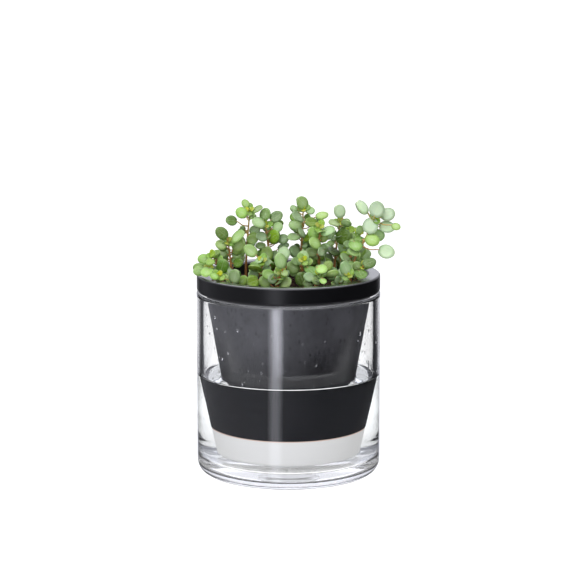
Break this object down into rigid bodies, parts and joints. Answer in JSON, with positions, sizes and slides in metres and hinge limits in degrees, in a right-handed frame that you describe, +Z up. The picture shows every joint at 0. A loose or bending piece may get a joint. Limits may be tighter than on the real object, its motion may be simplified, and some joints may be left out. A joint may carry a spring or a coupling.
{
  "type": "self-watering planter",
  "caption": "Tapered clay pot hung by its rim in a clear glass vessel of water, planted with small round-leaved foliage.",
  "frame": {"origin": "centre of the flat face that the glass vessel stands on, on the axis of the vessel and the pot", "axes": "+Z up along the vessel's axis; -Y towards the viewer of the picture; +X to the viewer's right"},
  "size_m": [0.1317, 0.118, 0.1783],
  "materials": {
    "clear_glass": "polished",
    "water": "polished",
    "bare_clay": "matte",
    "charcoal_glaze": "satin",
    "soil": "matte",
    "leaf": "satin"
  },
  "bodies": {
    "vessel": {"glass_vessel": "clear_glass", "water": "water"},
    "potted_plant": {"clay_pot": "bare_clay", "pot_glaze": "charcoal_glaze", "potting_soil": "soil", "plant_tall_left": "leaf", "plant_left": "leaf", "plant_far_left": "leaf", "plant_over_rim": "leaf", "plant_front_left": "leaf", "plant_second": "leaf", "plant_mid_left": "leaf", "plant_front": "leaf", "plant_tallest": "leaf", "plant_middle": "leaf", "plant_mid_front": "leaf", "plant_right": "leaf", "plant_mid_right": "leaf", "plant_far_right": "leaf", "plant_right_rim": "leaf", "plant_front_right": "leaf", "plant_front_mid": "leaf", "plant_back_left": "leaf", "plant_back": "leaf", "plant_back_right": "leaf", "plant_back_middle": "leaf", "plant_right_back": "leaf"}
  },
  "joints": [
    {"name": "pot_lift", "type": "slide", "parent": "vessel", "child": "potted_plant", "axis": [0, 0, 1], "range_m": [0, 0.112], "deforming": ["water"]}
  ]
}
